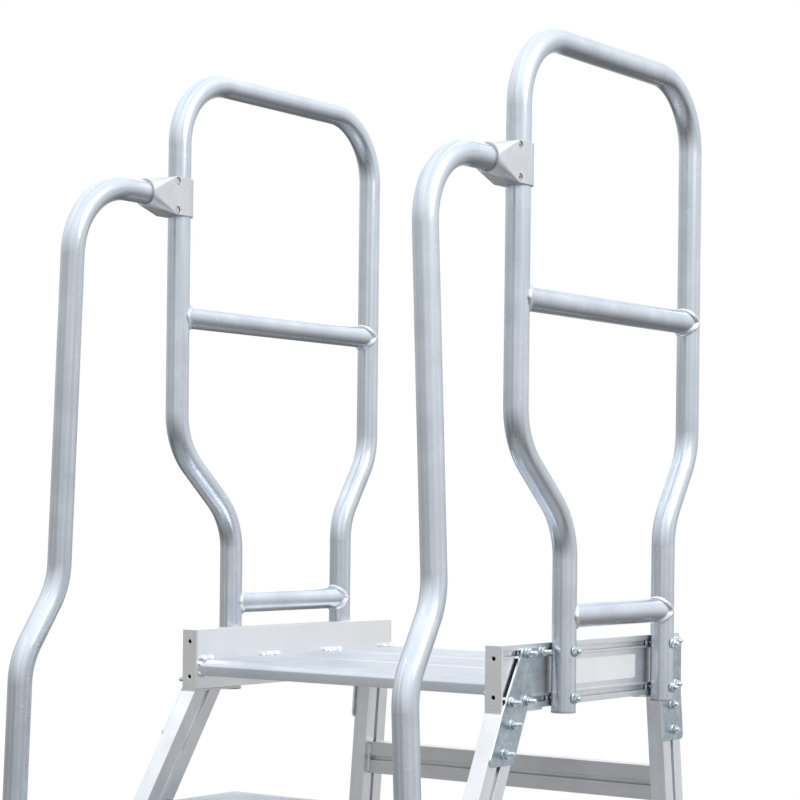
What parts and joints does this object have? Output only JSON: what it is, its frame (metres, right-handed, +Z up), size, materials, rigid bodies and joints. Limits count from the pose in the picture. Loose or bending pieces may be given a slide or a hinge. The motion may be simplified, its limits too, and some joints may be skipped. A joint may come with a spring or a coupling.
{
  "type": "rolling step ladder",
  "caption": "Wheeled platform step ladder in aluminium: grooved treads rise to a guarded deck, with bent grab rails, tube side guards and a base on braked swivel castors.",
  "frame": {"origin": "on the floor, at the centre of the ladder's bounding box", "axes": "+Z up; the climbing side faces -Y; +X is to the right of someone who climbs it"},
  "size_m": [0.928, 1.3594, 2.476],
  "materials": {
    "profile_aluminium": "mill-finish extrusion, satin, faint drawn lines",
    "deck_aluminium": "mill-finish extrusion, grooved, brighter on the ribs",
    "end_plate_aluminium": "mill-finish sheet, warm grey, matt",
    "tube_aluminium": "mill-finish tube, satin, fine drawn lines and scratches",
    "zinc_plate": "bright zinc plating, bluish and mottled",
    "zinc_fastener": "bright zinc plating",
    "die_cast": "die-cast, satin grey, fine grain",
    "screw_steel": "bright zinc plating",
    "grey_plastic": "moulded plastic, matt",
    "white_label": "blank white film, satin",
    "castor_steel": "pressed steel, bright zinc plating",
    "wheel_plastic": "grey moulded wheel core",
    "tyre_rubber": "dark grey non-marking rubber",
    "pedal_red": "pressed steel pedal, red paint"
  },
  "bodies": {
    "frame": {"side_beam_left": "profile_aluminium", "side_beam_right": "profile_aluminium", "beam_end_plates": "end_plate_aluminium", "deck_plank_front": "deck_aluminium", "deck_plank_middle": "deck_aluminium", "deck_plank_rear": "deck_aluminium", "leg_head_plates": "end_plate_aluminium", "front_stile_left": "profile_aluminium", "front_stile_right": "profile_aluminium", "rear_leg_left": "profile_aluminium", "rear_leg_right": "profile_aluminium", "tread_1": "deck_aluminium", "tread_2": "deck_aluminium", "tread_3": "deck_aluminium", "tread_4": "deck_aluminium", "tread_5": "deck_aluminium", "rear_brace_upper": "profile_aluminium", "rear_brace_lower": "profile_aluminium", "side_braces": "profile_aluminium", "gusset_front_left": "zinc_plate", "gusset_front_right": "zinc_plate", "gusset_rear_left": "zinc_plate", "gusset_rear_right": "zinc_plate", "slot_bolts": "zinc_fastener", "flange_nuts": "zinc_fastener", "guard_hoop_left": "tube_aluminium", "guard_hoop_right": "tube_aluminium", "guard_mid_rails": "tube_aluminium", "guard_lower_rails": "tube_aluminium", "grab_rail_left": "tube_aluminium", "grab_rail_right": "tube_aluminium", "clamp_outer_halves": "die_cast", "clamp_inner_halves": "die_cast", "clamp_screws": "screw_steel", "grab_brackets": "die_cast", "tube_plugs": "grey_plastic", "blank_label": "white_label", "crossbar_front": "profile_aluminium", "crossbar_rear": "profile_aluminium", "crossbar_caps": "grey_plastic", "base_rail_left": "profile_aluminium", "base_rail_right": "profile_aluminium", "castor_plates": "castor_steel", "castor_bolts": "zinc_fastener"},
    "castor_front_left": {"fork_front_left": "castor_steel"},
    "castor_front_left_wheel": {"wheel_front_left": "wheel_plastic", "tyre_front_left": "tyre_rubber"},
    "castor_front_left_brake": {"brake_pedal_front_left": "pedal_red"},
    "castor_front_right": {"fork_front_right": "castor_steel"},
    "castor_front_right_wheel": {"wheel_front_right": "wheel_plastic", "tyre_front_right": "tyre_rubber"},
    "castor_front_right_brake": {"brake_pedal_front_right": "pedal_red"},
    "castor_rear_left": {"fork_rear_left": "castor_steel"},
    "castor_rear_left_wheel": {"wheel_rear_left": "wheel_plastic", "tyre_rear_left": "tyre_rubber"},
    "castor_rear_left_brake": {"brake_pedal_rear_left": "pedal_red"},
    "castor_rear_right": {"fork_rear_right": "castor_steel"},
    "castor_rear_right_wheel": {"wheel_rear_right": "wheel_plastic", "tyre_rear_right": "tyre_rubber"},
    "castor_rear_right_brake": {"brake_pedal_rear_right": "pedal_red"}
  },
  "joints": [
    {"name": "swivel_front_left", "type": "hinge", "parent": "frame", "child": "castor_front_left", "pos_m": [-0.398, -0.6397, 0.14], "axis": [0, 0, 1], "continuous": true},
    {"name": "roll_front_left", "type": "hinge", "parent": "castor_front_left", "child": "castor_front_left_wheel", "pos_m": [-0.398, -0.5997, 0.0625], "axis": [1, 0, 0], "continuous": true},
    {"name": "brake_front_left", "type": "hinge", "parent": "castor_front_left", "child": "castor_front_left_brake", "pos_m": [-0.398, -0.5777, 0.1285], "axis": [-1, 0, 0], "range_deg": [0, 18]},
    {"name": "swivel_front_right", "type": "hinge", "parent": "frame", "child": "castor_front_right", "pos_m": [0.398, -0.6397, 0.14], "axis": [0, 0, 1], "continuous": true},
    {"name": "roll_front_right", "type": "hinge", "parent": "castor_front_right", "child": "castor_front_right_wheel", "pos_m": [0.398, -0.5997, 0.0625], "axis": [1, 0, 0], "continuous": true},
    {"name": "brake_front_right", "type": "hinge", "parent": "castor_front_right", "child": "castor_front_right_brake", "pos_m": [0.398, -0.5777, 0.1285], "axis": [-1, 0, 0], "range_deg": [0, 18]},
    {"name": "swivel_rear_left", "type": "hinge", "parent": "frame", "child": "castor_rear_left", "pos_m": [-0.398, 0.5517, 0.14], "axis": [0, 0, 1], "continuous": true},
    {"name": "roll_rear_left", "type": "hinge", "parent": "castor_rear_left", "child": "castor_rear_left_wheel", "pos_m": [-0.398, 0.5917, 0.0625], "axis": [1, 0, 0], "continuous": true},
    {"name": "brake_rear_left", "type": "hinge", "parent": "castor_rear_left", "child": "castor_rear_left_brake", "pos_m": [-0.398, 0.6137, 0.1285], "axis": [-1, 0, 0], "range_deg": [0, 18]},
    {"name": "swivel_rear_right", "type": "hinge", "parent": "frame", "child": "castor_rear_right", "pos_m": [0.398, 0.5517, 0.14], "axis": [0, 0, 1], "continuous": true},
    {"name": "roll_rear_right", "type": "hinge", "parent": "castor_rear_right", "child": "castor_rear_right_wheel", "pos_m": [0.398, 0.5917, 0.0625], "axis": [1, 0, 0], "continuous": true},
    {"name": "brake_rear_right", "type": "hinge", "parent": "castor_rear_right", "child": "castor_rear_right_brake", "pos_m": [0.398, 0.6137, 0.1285], "axis": [-1, 0, 0], "range_deg": [0, 18]}
  ]
}
